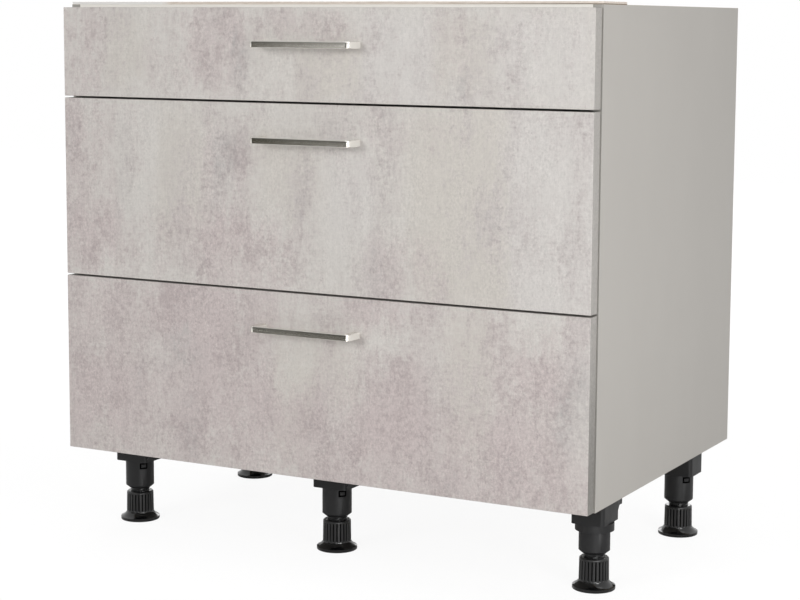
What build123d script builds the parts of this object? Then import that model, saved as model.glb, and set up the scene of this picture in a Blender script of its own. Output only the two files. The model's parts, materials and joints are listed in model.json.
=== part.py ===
from build123d import *
import os

# A kitchen base cabinet, 900 mm wide, with one shallow and two deep drawers, on five
# adjustable legs. The floor is Z = 0, +X runs along the cabinet, the fronts face -Y.

os.makedirs("parts", exist_ok=True)

# Carcass
cabinet_width = 900.0
carcass_height = 704.0
carcass_depth = 560.0
board_thickness = 16.0
board_edge_round = 0.6
rail_depth = 100.0
strip_thickness = 4.0
strip_depth = 86.0
strip_end_inset = 1.0
strip_screw_spacing = 270.0
strip_screw_inset = 64.5

# Back panel in its grooves
back_thickness = 3.0
back_groove_depth = 8.0
back_groove_play = 0.2
back_setback = 18.0

# Board joints: dowels beside cam locks
dowel_radius = 4.0
dowel_length = 30.0
dowel_in_side = 10.0
cam_radius = 7.5
cam_height = 12.5
cam_end_distance = 34.0
cam_bolt_radius = 3.0
cam_bolt_in_side = 11.0
cam_bolt_in_cam = 4.0
joint_play = 0.1
joint_end_margin = 45.0
rail_joint_margin = 20.0
bottom_dowel_inset = 22.0

# Fronts, gaps seen between and around them
front_thickness = 22.0
front_stand_off = 2.0
front_side_reveal = 1.5
front_bottom_reveal = 1.0
front_top_reveal = 4.5
front_gap = 3.0
shallow_front_height = 137.5
front_edge_round = 0.8

# Bow handles
handle_spacing = 160.0
handle_leg_width = 11.0
handle_bar_height = 10.0
handle_bar_thickness = 8.0
handle_projection = 33.0
handle_corner_radius = 8.0
handle_below_top = 54.0
handle_edge_chamfer = 0.8
handle_screw_radius = 2.0
handle_screw_in_leg = 12.0
handle_screw_head_radius = 4.0
handle_screw_head_height = 2.6

# Telescopic runners: cabinet runner, middle runner, channel on the drawer side
runner_setback = 3.0
space_behind_runner = 35.6
runner_height = 45.0
runner_sheet = 1.5
runner_play = 0.3
cabinet_runner_depth = 9.5
middle_runner_depth = 9.2
middle_runner_setback = 6.0
middle_runner_rear_setback = 34.0
runner_centre_above_box = 26.0
runner_screw_count = 3
runner_first_screw = 34.0
runner_last_screw = 82.0

# Drawer boxes
box_above_front_bottom = 32.0
box_side_space = 14.0
box_side_height = 84.0
box_side_thickness = 13.0
box_sheet = 1.2
box_lip = 8.0
box_board_thickness = 16.0
box_board_play = 0.3
box_rear_setback = 5.0
back_board_thickness = 16.0
deep_back_height = 190.0

# Rods above the sides of the deep drawers
rod_radius = 5.0
rod_height = 150.0
rod_cap_radius = 8.0
rod_cap_length = 8.0

# Front brackets in the hollow drawer sides
bracket_play = 0.3
bracket_height = 60.0
bracket_length = 70.0
peg_radius = 4.0
peg_length = 11.0
peg_play = 0.1
peg_spacing = 32.0

# Wood screws with countersunk heads
screw_radius = 2.0
screw_head_radius = 3.6
screw_head_height = 1.5
screw_length = 14.0
screw_play = 0.1

# Worktop screw holes through both rails
worktop_hole_radius = 2.5
worktop_hole_spacing = 700.0

# Legs
leg_height = 140.0
leg_side_inset = 44.0
leg_end_inset = 105.0
middle_leg_offset = -28.0
leg_play = 0.2
plate_thickness = 5.0
plate_half_width = 26.0
plate_back_reach = 30.0
plate_arm_reach = 50.0
plate_corner = 6.0
socket_depth = 40.0
socket_roof = 8.0
gusset_thickness = 3.0
gusset_inset = 5.0
gusset_end_inset = 1.0
gusset_foot_length = 10.0
gusset_foot_height = 17.0
plate_screw_inset_x = 7.0
plate_screw_inset_y = 5.0
plate_arm_screw_spacing = 20.0
sleeve_radius = 23.0
sleeve_bottom_height = 53.0
sleeve_taper_height = 5.0
sleeve_taper = 6.0
sleeve_roof = 6.0
window_width = 13.0
window_height = 10.0
window_depth = 2.2
window_below_socket = 3.0
latch_margin = 2.5
window_turn = 52.0
stem_radius = 15.6
stem_play = 0.1
stem_into_sleeve = 46.0
thread_pitch = 3.0
thread_depth = 0.8
thread_groove = 1.5
foot_base_radius = 31.7
foot_rim_height = 5.0
foot_rim_chamfer = 1.2
foot_flare_height = 13.0
foot_flare_radius = 19.0
foot_body_radius = 22.2
foot_shoulder_radius = 21.7
foot_shoulder_height = 45.5
foot_top_height = 47.5
flute_count = 24
flute_radius = 1.7
flute_out = 0.7
flute_end = 1.5
clip_height = 12.0
clip_thickness = 5.5
clip_play = 0.2
clip_mouth = 26.0
clip_gap_below_socket = 0.2

# Planes that the pieces share, worked out from the sizes above
total_depth = handle_projection + front_thickness + front_stand_off + carcass_depth
front_face_y = -total_depth / 2 + handle_projection
front_rear_y = front_face_y + front_thickness
carcass_front_y = front_rear_y + front_stand_off
carcass_rear_y = carcass_front_y + carcass_depth
carcass_bottom_z = leg_height
carcass_top_z = leg_height + carcass_height
outer_x = cabinet_width / 2
inner_x = outer_x - board_thickness
bottom_top_z = carcass_bottom_z + board_thickness
rail_bottom_z = carcass_top_z - board_thickness
groove_width = back_thickness + 2 * back_groove_play
groove_rear_y = carcass_rear_y - back_setback
groove_front_y = groove_rear_y - groove_width

front_half_width = outer_x - front_side_reveal
fronts_height = carcass_height - front_bottom_reveal - front_top_reveal
deep_front_height = (fronts_height - shallow_front_height - 2 * front_gap) / 2
bottom_front_z = carcass_bottom_z + front_bottom_reveal
middle_front_z = bottom_front_z + deep_front_height + front_gap
top_front_z = middle_front_z + deep_front_height + front_gap

# name, bottom of the front, height of the front, deep or not
drawers = [
    ("bottom", bottom_front_z, deep_front_height, True),
    ("middle", middle_front_z, deep_front_height, True),
    ("top", top_front_z, shallow_front_height, False),
]
sides = [("left", -1), ("right", 1)]

side_leg_x = outer_x - leg_side_inset
front_leg_y = carcass_front_y + leg_end_inset
rear_leg_y = carcass_rear_y - leg_end_inset

# name, x, y, direction of the socket's arm
legs = [
    ("front_left", -side_leg_x, front_leg_y, (1, 0, 0)),
    ("front_middle", middle_leg_offset, front_leg_y, (1, 0, 0)),
    ("front_right", side_leg_x, front_leg_y, (0, 1, 0)),
    ("rear_left", -side_leg_x, rear_leg_y, (1, 0, 0)),
    ("rear_right", side_leg_x, rear_leg_y, (-1, 0, 0)),
]

# Joints of the horizontal boards: dowel places and cam places along Y, at mid board
rear_rail_front_y = carcass_rear_y - rail_depth
bottom_dowels = [
    carcass_front_y + joint_end_margin + bottom_dowel_inset,
    (carcass_front_y + carcass_rear_y) / 2,
    carcass_rear_y - joint_end_margin - bottom_dowel_inset,
]
bottom_cams = [carcass_front_y + joint_end_margin, carcass_rear_y - joint_end_margin]
board_joints = [(bottom_dowels, bottom_cams, carcass_bottom_z + board_thickness / 2)]
for rail_front in (carcass_front_y, rear_rail_front_y):
    rail_dowels = [rail_front + rail_joint_margin, rail_front + 3 * rail_joint_margin]
    rail_cams = [rail_front + 2 * rail_joint_margin]
    board_joints.append((rail_dowels, rail_cams, carcass_top_z - board_thickness / 2))

runner_front_y = carcass_front_y + runner_setback
runner_rear_y = groove_front_y - space_behind_runner
first_screw_y = runner_front_y + runner_first_screw
runner_screw_pitch = (runner_rear_y - runner_last_screw - first_screw_y) / (runner_screw_count - 1)
runner_screws_y = [first_screw_y + i * runner_screw_pitch for i in range(runner_screw_count)]
middle_runner_front_y = runner_front_y + middle_runner_setback
middle_runner_rear_y = runner_rear_y - middle_runner_rear_setback
box_rear_y = runner_rear_y - box_rear_setback

strip_screws_x = [-strip_screw_spacing, 0.0, strip_screw_spacing]
strip_screw_y = carcass_front_y + strip_screw_inset
worktop_holes_y = [carcass_front_y + rail_depth / 2, rear_rail_front_y + rail_depth / 2]


# A box between two corners, given in any order
def block(corner, opposite, mode=Mode.ADD):
    centre = tuple((a + b) / 2 for a, b in zip(corner, opposite))
    size = tuple(abs(a - b) for a, b in zip(corner, opposite))
    with Locations(centre):
        Box(*size, mode=mode)


# A countersunk screw whose head lies flush in the plane and whose shank runs against its normal
def countersunk_screw(plane, length):
    head = Plane(origin=plane.origin, x_dir=plane.x_dir, z_dir=-plane.z_dir)
    with Locations(head):
        Cone(
            screw_head_radius,
            screw_radius,
            screw_head_height,
            align=(Align.CENTER, Align.CENTER, Align.MIN),
        )
        Cylinder(screw_radius, length, align=(Align.CENTER, Align.CENTER, Align.MIN))


# The seat of such a screw in the plane that its head is flush with
def screw_seat(plane, depth):
    seat = Plane(origin=plane.origin, x_dir=plane.x_dir, z_dir=-plane.z_dir)
    with Locations(seat):
        Cone(
            screw_head_radius + screw_play,
            screw_radius + screw_play,
            screw_head_height,
            align=(Align.CENTER, Align.CENTER, Align.MIN),
            mode=Mode.SUBTRACT,
        )
        Cylinder(
            screw_radius + screw_play,
            depth,
            align=(Align.CENTER, Align.CENTER, Align.MIN),
            mode=Mode.SUBTRACT,
        )


# ---- Carcass ----


def runner_centre_z(front_bottom):
    return front_bottom + box_above_front_bottom + runner_centre_above_box


# The runner screws of one side, on planes that face the inside of the cabinet
def runner_screw_planes(side):
    x = side * (inner_x - runner_sheet)
    return [
        Plane(origin=(x, y, runner_centre_z(front_bottom)), x_dir=(0, 1, 0), z_dir=(-side, 0, 0))
        for _, front_bottom, _, _ in drawers
        for y in runner_screws_y
    ]


def make_side_panel(name, side):
    with BuildPart() as panel:
        block(
            (side * inner_x, carcass_front_y, carcass_bottom_z),
            (side * outer_x, carcass_rear_y, carcass_top_z),
        )
        fillet(panel.edges(), radius=board_edge_round)
        block(
            (side * inner_x, groove_front_y, carcass_bottom_z),
            (side * (inner_x + back_groove_depth), groove_rear_y, carcass_top_z),
            Mode.SUBTRACT,
        )
        for dowels, cams, z in board_joints:
            with Locations([Plane(origin=(side * inner_x, y, z), z_dir=(-side, 0, 0)) for y in dowels]):
                Hole(dowel_radius + joint_play, dowel_in_side + joint_play)
            with Locations([Plane(origin=(side * inner_x, y, z), z_dir=(-side, 0, 0)) for y in cams]):
                Hole(cam_bolt_radius + joint_play, cam_bolt_in_side + joint_play)
        for plane in runner_screw_planes(side):
            with Locations(plane):
                Hole(screw_radius + screw_play, screw_length + screw_play)
    panel.part.label = name
    export_step(panel.part, f"parts/{name}.step")


# Bores in both ends of a horizontal board. The cams are let in from below.
def board_end_bores(dowels, cams, z):
    for side in (-1, 1):
        with Locations([Plane(origin=(side * inner_x, y, z), z_dir=(side, 0, 0)) for y in dowels]):
            Hole(dowel_radius + joint_play, dowel_length - dowel_in_side + joint_play)
        with Locations([Plane(origin=(side * inner_x, y, z), z_dir=(side, 0, 0)) for y in cams]):
            Hole(cam_bolt_radius + joint_play, cam_end_distance)
        cam_x = side * (inner_x - cam_end_distance)
        cam_z = z - board_thickness / 2
        with Locations([Plane(origin=(cam_x, y, cam_z), z_dir=(0, 0, -1)) for y in cams]):
            Hole(cam_radius + joint_play, cam_height + joint_play)


def leg_plane(x, y, arm):
    return Plane(origin=(x, y, carcass_bottom_z), x_dir=arm, z_dir=(0, 0, 1))


# The four screws of each socket, from below: two at its back, two between the gussets of its arm
def plate_screw_planes(x, y, arm):
    plate = leg_plane(x, y, arm)
    near = plate_back_reach - plate_screw_inset_x
    across = plate_half_width - plate_screw_inset_y
    reach = plate_arm_reach - plate_screw_inset_x
    between = plate_arm_screw_spacing / 2
    places = [(reach, -between), (reach, between), (-near, -across), (-near, across)]
    planes = []
    for along, sideways in places:
        origin = plate.from_local_coords(Vector(along, sideways, -plate_thickness))
        planes.append(Plane(origin=origin, x_dir=arm, z_dir=(0, 0, -1)))
    return planes


with BuildPart() as bottom_panel:
    block(
        (-inner_x, carcass_front_y, carcass_bottom_z),
        (inner_x, carcass_rear_y, bottom_top_z),
    )
    fillet(bottom_panel.edges().filter_by(Axis.X), radius=board_edge_round)
    block(
        (-inner_x, groove_front_y, bottom_top_z - back_groove_depth),
        (inner_x, groove_rear_y, bottom_top_z),
        Mode.SUBTRACT,
    )
    board_end_bores(*board_joints[0])
    for _, leg_x, leg_y, leg_arm in legs:
        for screw_plane in plate_screw_planes(leg_x, leg_y, leg_arm):
            with Locations(screw_plane):
                Hole(screw_radius + screw_play, screw_length + screw_play)
bottom_panel.part.label = "bottom_panel"
export_step(bottom_panel.part, "parts/bottom_panel.step")

with BuildPart() as back_panel:
    in_groove = back_groove_depth - back_groove_play
    block(
        (-inner_x - in_groove, groove_front_y + back_groove_play, bottom_top_z - in_groove),
        (inner_x + in_groove, groove_rear_y - back_groove_play, rail_bottom_z + in_groove),
    )
back_panel.part.label = "back_panel"
export_step(back_panel.part, "parts/back_panel.step")


def make_top_rail(name, rail_front, joints, worktop_hole_y, screws_x):
    with BuildPart() as rail:
        block(
            (-inner_x, rail_front, rail_bottom_z),
            (inner_x, rail_front + rail_depth, carcass_top_z),
        )
        fillet(rail.edges().filter_by(Axis.X), radius=board_edge_round)
        board_end_bores(*joints)
        with Locations((0, worktop_hole_y, carcass_top_z)):
            with GridLocations(worktop_hole_spacing, 0, 2, 1):
                Hole(worktop_hole_radius)
        if rail_front == rear_rail_front_y:
            block(
                (-inner_x, groove_front_y, rail_bottom_z),
                (inner_x, groove_rear_y, rail_bottom_z + back_groove_depth),
                Mode.SUBTRACT,
            )
        for x in screws_x:
            with Locations((x, strip_screw_y, carcass_top_z)):
                Hole(screw_radius + screw_play, screw_length - strip_thickness + screw_play)
    rail.part.label = name
    export_step(rail.part, f"parts/{name}.step")


with BuildPart() as top_strip:
    block(
        (-outer_x + strip_end_inset, carcass_front_y, carcass_top_z),
        (outer_x - strip_end_inset, carcass_front_y + strip_depth, carcass_top_z + strip_thickness),
    )
    with Locations((0, worktop_holes_y[0], carcass_top_z + strip_thickness)):
        with GridLocations(worktop_hole_spacing, 0, 2, 1):
            Hole(worktop_hole_radius)
    for screw_x in strip_screws_x:
        strip_plane = Plane(origin=(screw_x, strip_screw_y, carcass_top_z + strip_thickness))
        screw_seat(strip_plane, strip_thickness)
top_strip.part.label = "top_strip"
export_step(top_strip.part, "parts/top_strip.step")

with BuildPart() as panel_dowels:
    for dowel_rows, _, joint_z in board_joints:
        for _, hand in sides:
            dowel_x = hand * (inner_x + dowel_in_side - dowel_length / 2)
            for dowel_y in dowel_rows:
                with Locations(Plane(origin=(dowel_x, dowel_y, joint_z), z_dir=(hand, 0, 0))):
                    Cylinder(dowel_radius, dowel_length)
panel_dowels.part.label = "panel_dowels"
export_step(panel_dowels.part, "parts/panel_dowels.step")

with BuildPart() as cam_locks:
    for _, cam_rows, joint_z in board_joints:
        for _, hand in sides:
            cam_x = hand * (inner_x - cam_end_distance)
            for cam_y in cam_rows:
                with Locations((cam_x, cam_y, joint_z - board_thickness / 2)):
                    Cylinder(cam_radius, cam_height, align=(Align.CENTER, Align.CENTER, Align.MIN))
                # the mouth that takes the bolt's end
                mouth_end = cam_x + hand * (cam_radius - cam_bolt_in_cam - joint_play)
                mouth = Plane(origin=(mouth_end, cam_y, joint_z), z_dir=(hand, 0, 0))
                with Locations(mouth):
                    Cylinder(
                        cam_bolt_radius + joint_play,
                        2 * cam_radius,
                        align=(Align.CENTER, Align.CENTER, Align.MIN),
                        mode=Mode.SUBTRACT,
                    )
cam_locks.part.label = "cam_locks"
export_step(cam_locks.part, "parts/cam_locks.step")

with BuildPart() as cam_bolts:
    for _, cam_rows, joint_z in board_joints:
        for _, hand in sides:
            bolt_start = inner_x - cam_end_distance + cam_radius - cam_bolt_in_cam
            bolt_length = inner_x + cam_bolt_in_side - bolt_start
            for cam_y in cam_rows:
                with Locations(Plane(origin=(hand * bolt_start, cam_y, joint_z), z_dir=(hand, 0, 0))):
                    Cylinder(cam_bolt_radius, bolt_length, align=(Align.CENTER, Align.CENTER, Align.MIN))
cam_bolts.part.label = "cam_bolts"
export_step(cam_bolts.part, "parts/cam_bolts.step")

for side_name, hand in sides:
    make_side_panel(f"side_panel_{side_name}", hand)
make_top_rail("top_rail_front", carcass_front_y, board_joints[1], worktop_holes_y[0], strip_screws_x)
make_top_rail("top_rail_rear", rear_rail_front_y, board_joints[2], worktop_holes_y[1], [])


# ---- Legs ----


# A socket is screwed under the bottom panel. Its arm reaches along the plane's X.
def make_socket(name, x, y, arm):
    plane = leg_plane(x, y, arm)
    bore_radius = sleeve_radius + leg_play
    with BuildPart() as socket:
        arm_middle = (plate_arm_reach - plate_back_reach) / 2
        with BuildSketch(plane):
            with Locations((arm_middle, 0)):
                RectangleRounded(plate_arm_reach + plate_back_reach, 2 * plate_half_width, plate_corner)
        extrude(amount=-plate_thickness)
        with BuildSketch(plane):
            RectangleRounded(2 * plate_back_reach, 2 * plate_half_width, plate_corner)
        extrude(amount=-socket_depth)
        # two gussets carry the arm and end in a deep foot
        gusset_end = plate_arm_reach - gusset_end_inset
        for sideways in (-1, 1):
            rib_plane = Plane(
                origin=plane.from_local_coords(Vector(0, sideways * (plate_half_width - gusset_inset), 0)),
                x_dir=arm,
                z_dir=plane.y_dir,
            )
            with BuildSketch(rib_plane):
                with BuildLine():
                    Polyline(
                        (plate_back_reach - plate_corner, plate_thickness),
                        (gusset_end, plate_thickness),
                        (gusset_end, plate_thickness + gusset_foot_height),
                        (gusset_end - gusset_foot_length, plate_thickness + gusset_foot_height),
                        (plate_back_reach, socket_depth - gusset_inset),
                        (plate_back_reach - plate_corner, socket_depth - gusset_inset),
                        close=True,
                    )
                make_face()
            extrude(amount=gusset_thickness / 2, both=True)
        with BuildSketch(plane.offset(-socket_depth)):
            Circle(bore_radius)
        extrude(amount=socket_depth - socket_roof, mode=Mode.SUBTRACT)
        for screw_plane in plate_screw_planes(x, y, arm):
            screw_seat(screw_plane, plate_thickness)
            # room below the plate for the screwdriver
            with Locations(screw_plane):
                Cylinder(
                    screw_head_radius + screw_play,
                    socket_depth,
                    align=(Align.CENTER, Align.CENTER, Align.MIN),
                    mode=Mode.SUBTRACT,
                )
    socket.part.label = name
    export_step(socket.part, f"parts/{name}.step")


# The sleeve hangs in the socket. It tapers at its lower end and has a latch window near the top.
def make_sleeve(name, x, y):
    top_z = carcass_bottom_z - socket_roof
    bottom_z = sleeve_bottom_height
    taper_z = bottom_z + sleeve_taper_height
    with BuildPart() as sleeve:
        with BuildSketch(Plane(origin=(x, y, bottom_z))):
            Circle(sleeve_radius - sleeve_taper)
        with BuildSketch(Plane(origin=(x, y, taper_z))):
            Circle(sleeve_radius)
        loft()
        with BuildSketch(Plane(origin=(x, y, taper_z))):
            Circle(sleeve_radius)
        extrude(amount=top_z - taper_z)
        # the window looks forward, turned towards the right
        window_top = carcass_bottom_z - socket_depth - window_below_socket
        window = Plane(
            origin=(x, y, window_top - window_height / 2),
            x_dir=Vector(1, 0, 0).rotate(Axis.Z, window_turn),
            z_dir=Vector(0, -1, 0).rotate(Axis.Z, window_turn),
        )
        with BuildSketch(window.offset(sleeve_radius - window_depth)):
            Rectangle(window_width, window_height)
            Rectangle(
                window_width - 2 * latch_margin,
                window_height - 2 * latch_margin,
                mode=Mode.SUBTRACT,
            )
        extrude(amount=2 * window_depth, mode=Mode.SUBTRACT)
        with BuildSketch(Plane(origin=(x, y, bottom_z))):
            Circle(stem_radius + stem_play)
        extrude(amount=top_z - sleeve_roof - bottom_z, mode=Mode.SUBTRACT)
    sleeve.part.label = name
    export_step(sleeve.part, f"parts/{name}.step")


# The foot turns on its stem inside the sleeve. Its body is fluted and flares to a round base.
def make_foot(name, x, y):
    stem_top = sleeve_bottom_height + stem_into_sleeve
    thread_turns = int((sleeve_bottom_height - foot_top_height) // thread_pitch) + 1
    body_taper = Vector(foot_body_radius - foot_shoulder_radius, 0, foot_shoulder_height - foot_flare_height)
    flute_lean = body_taper.get_angle(Vector(0, 0, 1))
    with BuildPart() as foot:
        # +Y of the sketch is up
        with BuildSketch(Plane(origin=(x, y, 0), x_dir=(1, 0, 0), z_dir=(0, -1, 0))):
            with BuildLine():
                base = Polyline(
                    (0, 0),
                    (foot_base_radius - foot_rim_chamfer, 0),
                    (foot_base_radius, foot_rim_chamfer),
                    (foot_base_radius, foot_rim_height),
                )
                flare = RadiusArc(base @ 1, (foot_body_radius, foot_flare_height), foot_flare_radius)
                Polyline(
                    flare @ 1,
                    (foot_shoulder_radius, foot_shoulder_height),
                    (foot_shoulder_radius - (foot_top_height - foot_shoulder_height), foot_top_height),
                    (stem_radius, foot_top_height),
                    (stem_radius, stem_top),
                    (0, stem_top),
                    (0, 0),
                )
            make_face()
        revolve(axis=Axis((x, y, 0), (0, 0, 1)))
        # the flutes lean inwards with the body
        with Locations((x, y, (foot_flare_height + foot_shoulder_height) / 2)):
            with PolarLocations((foot_body_radius + foot_shoulder_radius) / 2 + flute_out, flute_count):
                Cylinder(
                    flute_radius,
                    foot_shoulder_height - foot_flare_height - 2 * flute_end,
                    rotation=(0, -flute_lean, 0),
                    mode=Mode.SUBTRACT,
                )
        # the coarse thread shows between foot and sleeve
        for turn in range(thread_turns):
            with Locations((x, y, foot_top_height + (turn + 0.5) * thread_pitch)):
                Cylinder(2 * stem_radius, thread_groove, mode=Mode.SUBTRACT)
                Cylinder(stem_radius - thread_depth, thread_groove)
    foot.part.label = name
    export_step(foot.part, f"parts/{name}.step")


for leg_name, leg_x, leg_y, leg_arm in legs:
    make_socket(f"leg_socket_{leg_name}", leg_x, leg_y, leg_arm)
    make_sleeve(f"leg_sleeve_{leg_name}", leg_x, leg_y)
    make_foot(f"leg_foot_{leg_name}", leg_x, leg_y)

# A spring clip for the plinth board, snapped round the sleeve of the front right leg.
# Its mouth opens to the rear.
with BuildPart() as plinth_clip:
    clip_top = carcass_bottom_z - socket_depth - clip_gap_below_socket
    with BuildSketch(Plane(origin=(side_leg_x, front_leg_y, clip_top))):
        Circle(sleeve_radius + clip_play + clip_thickness)
        Circle(sleeve_radius + clip_play, mode=Mode.SUBTRACT)
        with Locations((0, sleeve_radius)):
            Rectangle(clip_mouth, 2 * sleeve_radius, mode=Mode.SUBTRACT)
    extrude(amount=-clip_height)
plinth_clip.part.label = "plinth_clip_front_right"
export_step(plinth_clip.part, "parts/plinth_clip_front_right.step")


# ---- Runners ----


# A channel of folded sheet that opens to the inside of the cabinet.
# near is how far its web stands off the side panel.
def channel(side, near, depth, half_height, centre_z, start_y, end_y):
    web = side * (inner_x - near)
    open_side = side * (inner_x - near - depth)
    block((web, start_y, centre_z - half_height), (open_side, end_y, centre_z + half_height))
    block(
        (web - side * runner_sheet, start_y, centre_z - half_height + runner_sheet),
        (open_side, end_y, centre_z + half_height - runner_sheet),
        Mode.SUBTRACT,
    )


middle_near = runner_sheet + runner_play
middle_half_height = runner_height / 2 - runner_sheet - runner_play
drawer_channel_near = middle_near + runner_sheet + runner_play
drawer_channel_half_height = middle_half_height - runner_sheet - runner_play


def make_cabinet_runners(name, front_bottom):
    centre_z = runner_centre_z(front_bottom)
    with BuildPart() as runners:
        for _, side in sides:
            channel(
                side,
                0,
                cabinet_runner_depth,
                runner_height / 2,
                centre_z,
                runner_front_y,
                runner_rear_y,
            )
            for y in runner_screws_y:
                x = side * (inner_x - runner_sheet)
                screw_seat(
                    Plane(origin=(x, y, centre_z), x_dir=(0, 1, 0), z_dir=(-side, 0, 0)), runner_sheet
                )
    runners.part.label = name
    export_step(runners.part, f"parts/{name}.step")


def make_middle_runners(name, front_bottom):
    centre_z = runner_centre_z(front_bottom)
    with BuildPart() as runners:
        for _, side in sides:
            channel(
                side,
                middle_near,
                middle_runner_depth,
                middle_half_height,
                centre_z,
                middle_runner_front_y,
                middle_runner_rear_y,
            )
    runners.part.label = name
    export_step(runners.part, f"parts/{name}.step")


# The same screw holds the strip, the sockets and the cabinet runners
strip_screw_planes = [
    Plane(origin=(x, strip_screw_y, carcass_top_z + strip_thickness)) for x in strip_screws_x
]
with BuildPart() as wood_screws:
    for screw_plane in strip_screw_planes:
        countersunk_screw(screw_plane, screw_length)
    for _, leg_x, leg_y, leg_arm in legs:
        for screw_plane in plate_screw_planes(leg_x, leg_y, leg_arm):
            countersunk_screw(screw_plane, screw_length)
    for _, hand in sides:
        for screw_plane in runner_screw_planes(hand):
            countersunk_screw(screw_plane, screw_length)
wood_screws.part.label = "wood_screws"
export_step(wood_screws.part, "parts/wood_screws.step")


# ---- Drawers ----

box_outer = inner_x - box_side_space
box_inner = box_outer - box_side_thickness
box_hollow_middle = (box_outer + box_inner) / 2


# A hollow steel side, with the running channel outside and a lip under the bottom board
def make_drawer_side(name, side, box_z):
    with BuildPart() as drawer_side:
        with BuildSketch(Plane(origin=(0, front_rear_y, box_z), x_dir=(1, 0, 0), z_dir=(0, -1, 0))):
            with Locations((side * box_hollow_middle, box_side_height / 2)):
                Rectangle(box_side_thickness, box_side_height)
                Rectangle(
                    box_side_thickness - 2 * box_sheet,
                    box_side_height - 2 * box_sheet,
                    mode=Mode.SUBTRACT,
                )
            with Locations((side * (box_inner - box_lip / 2), box_sheet / 2)):
                Rectangle(box_lip, box_sheet)
            channel_end = inner_x - drawer_channel_near
            for flange in (-1, 1):
                flange_z = runner_centre_above_box + flange * (drawer_channel_half_height - runner_sheet / 2)
                with Locations((side * (box_outer + channel_end) / 2, flange_z)):
                    Rectangle(channel_end - box_outer, runner_sheet)
        extrude(amount=front_rear_y - box_rear_y)
    drawer_side.part.label = name
    export_step(drawer_side.part, f"parts/{name}.step")


def make_bottom_board(name, box_z):
    half_width = box_inner - box_board_play
    board_z = box_z + box_sheet
    with BuildPart() as bottom_board:
        block(
            (-half_width, front_rear_y, board_z),
            (half_width, box_rear_y, board_z + box_board_thickness),
        )
    bottom_board.part.label = name
    export_step(bottom_board.part, f"parts/{name}.step")


# The back board stands on the bottom board. On a deep drawer it widens above the sides.
def make_back_board(name, box_z, deep):
    half_width = box_inner - box_board_play
    board_z = box_z + box_sheet + box_board_thickness
    with BuildPart() as back_board:
        block(
            (-half_width, box_rear_y - back_board_thickness, board_z),
            (half_width, box_rear_y, box_z + box_side_height),
        )
        if deep:
            block(
                (-box_outer, box_rear_y - back_board_thickness, box_z + box_side_height),
                (box_outer, box_rear_y, box_z + deep_back_height),
            )
        fillet(back_board.edges().filter_by(Axis.X).group_by(Axis.Z)[-1], radius=board_edge_round)
    back_board.part.label = name
    export_step(back_board.part, f"parts/{name}.step")


# Rods above the sides of a deep drawer, from the front to the back board, with a cap at each end
def make_side_rods(name, box_z):
    rod_end_y = box_rear_y - back_board_thickness
    with BuildPart() as rods:
        for _, side in sides:
            for start_y, radius, length in (
                (front_rear_y, rod_radius, rod_end_y - front_rear_y),
                (front_rear_y, rod_cap_radius, rod_cap_length),
                (rod_end_y - rod_cap_length, rod_cap_radius, rod_cap_length),
            ):
                start = Plane(
                    origin=(side * box_hollow_middle, start_y, box_z + rod_height),
                    z_dir=(0, 1, 0),
                )
                with Locations(start):
                    Cylinder(radius, length, align=(Align.CENTER, Align.CENTER, Align.MIN))
    rods.part.label = name
    export_step(rods.part, f"parts/{name}.step")


# The places of the bracket pegs, on the rear face of the front
def peg_planes(side, box_z):
    x = side * box_hollow_middle
    middle_z = box_z + box_side_height / 2
    return [
        Plane(origin=(x, front_rear_y, middle_z + step * peg_spacing / 2), z_dir=(0, 1, 0))
        for step in (-1, 1)
    ]


def make_front_brackets(name, box_z):
    width = box_side_thickness - 2 * box_sheet - 2 * bracket_play
    middle_z = box_z + box_side_height / 2
    with BuildPart() as brackets:
        for _, side in sides:
            x = side * box_hollow_middle
            block(
                (x - width / 2, front_rear_y, middle_z - bracket_height / 2),
                (x + width / 2, front_rear_y + bracket_length, middle_z + bracket_height / 2),
            )
            for plane in peg_planes(side, box_z):
                with Locations(plane):
                    Cylinder(peg_radius, peg_length, align=(Align.CENTER, Align.CENTER, Align.MAX))
    brackets.part.label = name
    export_step(brackets.part, f"parts/{name}.step")


def handle_screw_planes(front_bottom, height):
    z = front_bottom + height - handle_below_top
    return [
        Plane(origin=(step * handle_spacing / 2, front_rear_y, z), z_dir=(0, 1, 0))
        for step in (-1, 1)
    ]


def make_front(name, front_bottom, height, box_z):
    with BuildPart() as front:
        block(
            (-front_half_width, front_face_y, front_bottom),
            (front_half_width, front_rear_y, front_bottom + height),
        )
        fillet(front.edges(), radius=front_edge_round)
        for plane in handle_screw_planes(front_bottom, height):
            with Locations(plane):
                Hole(handle_screw_radius + screw_play)
        for _, side in sides:
            for plane in peg_planes(side, box_z):
                with Locations(plane):
                    Hole(peg_radius + peg_play, peg_length + peg_play)
    front.part.label = name
    export_step(front.part, f"parts/{name}.step")


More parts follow.
